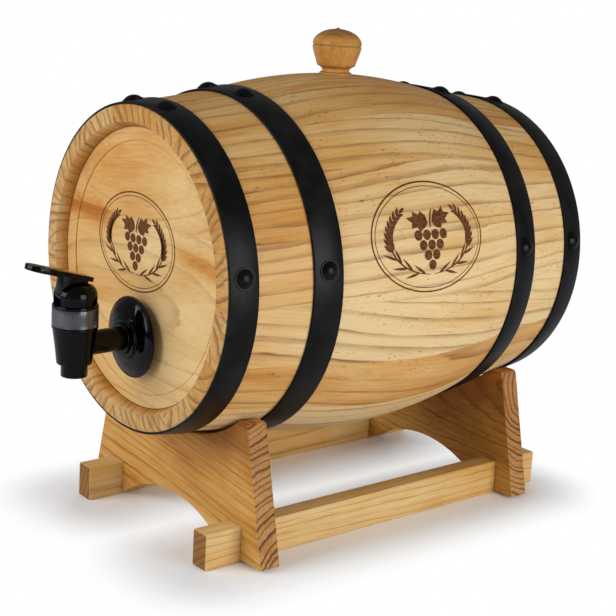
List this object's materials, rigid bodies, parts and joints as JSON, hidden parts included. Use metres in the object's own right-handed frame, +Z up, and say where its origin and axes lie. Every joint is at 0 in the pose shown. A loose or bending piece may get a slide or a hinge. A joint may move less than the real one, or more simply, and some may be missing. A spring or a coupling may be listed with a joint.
{
  "type": "drink cask with tap and stand",
  "caption": "Small table-top wooden cask with black steel hoops, a knobbed bung and a black lever tap, lying in a two-cradle wooden stand.",
  "frame": {"origin": "on the table, under the middle of the object's bounding box", "axes": "+Z up; +Y along the cask from the tap end to the rear end; +X to the right when looking along +Y"},
  "size_m": [0.209, 0.3326, 0.2832],
  "materials": {
    "stave_oak": "clear satin varnish",
    "head_oak": "clear satin varnish",
    "dowel_beech": "raw",
    "cradle_wood": "clear satin varnish",
    "rail_wood": "clear satin varnish",
    "knob_turned_wood": "turned, clear satin varnish",
    "hoop_black_steel": "satin black paint",
    "nail_black_steel": "satin black paint",
    "tap_black_plastic": "glossy",
    "stem_acetal": "satin",
    "silicone": "matte",
    "pin_stainless": "bright",
    "screw_zinc_steel": "zinc plated"
  },
  "bodies": {
    "stand": {"front_cradle": "cradle_wood", "rear_cradle": "cradle_wood", "left_rail": "rail_wood", "right_rail": "rail_wood", "stand_screws": "screw_zinc_steel"},
    "cask": {"bung_stave": "stave_oak", "stave_01": "stave_oak", "stave_02": "stave_oak", "stave_03": "stave_oak", "stave_04": "stave_oak", "stave_05": "stave_oak", "stave_06": "stave_oak", "stave_07": "stave_oak", "stave_08": "stave_oak", "stave_09": "stave_oak", "stave_10": "stave_oak", "stave_11": "stave_oak", "stave_12": "stave_oak", "stave_13": "stave_oak", "stave_14": "stave_oak", "stave_15": "stave_oak", "stave_16": "stave_oak", "stave_17": "stave_oak", "front_head_lower_board": "head_oak", "front_head_middle_board": "head_oak", "front_head_upper_board": "head_oak", "rear_head_lower_board": "head_oak", "rear_head_middle_board": "head_oak", "rear_head_upper_board": "head_oak", "front_head_dowels": "dowel_beech", "rear_head_dowels": "dowel_beech", "front_chime_hoop": "hoop_black_steel", "front_bilge_hoop": "hoop_black_steel", "rear_chime_hoop": "hoop_black_steel", "rear_bilge_hoop": "hoop_black_steel", "front_chime_hoop_nails": "nail_black_steel", "front_bilge_hoop_nails": "nail_black_steel", "rear_chime_hoop_nails": "nail_black_steel", "rear_bilge_hoop_nails": "nail_black_steel", "tap_body": "tap_black_plastic", "tap_bonnet": "tap_black_plastic", "tap_lever_pin": "pin_stainless", "tap_rosette": "tap_black_plastic", "tap_outer_gasket": "silicone", "tap_inner_gasket": "silicone", "tap_lock_nut": "tap_black_plastic"},
    "bung": {"bung_knob": "knob_turned_wood", "bung_sleeve": "silicone"},
    "lever": {"tap_lever": "tap_black_plastic", "tap_link_pin": "pin_stainless"},
    "stem": {"tap_stem": "stem_acetal", "tap_seat_cup": "silicone", "tap_spring": "pin_stainless"}
  },
  "joints": [
    {"name": "cask_lift", "type": "slide", "parent": "stand", "child": "cask", "axis": [0, 0, 1], "range_m": [0, 0.09]},
    {"name": "bung_lift", "type": "slide", "parent": "cask", "child": "bung", "axis": [0, 0, 1], "range_m": [0, 0.05]},
    {"name": "lever_press", "type": "hinge", "parent": "cask", "child": "lever", "pos_m": [0, -0.14412, 0.143], "axis": [1, 0, 0], "range_deg": [0, 30]},
    {"name": "stem_lift", "type": "slide", "parent": "cask", "child": "stem", "axis": [0, 0, 1], "range_m": [0, 0.0038], "stiffness_N_per_m": 12, "springref_m": -0.005, "deforming": ["tap_spring"]}
  ],
  "couplings": [
    {"joint": "lever_press", "follows": "stem_lift", "rad_per_m": 135.7}
  ]
}
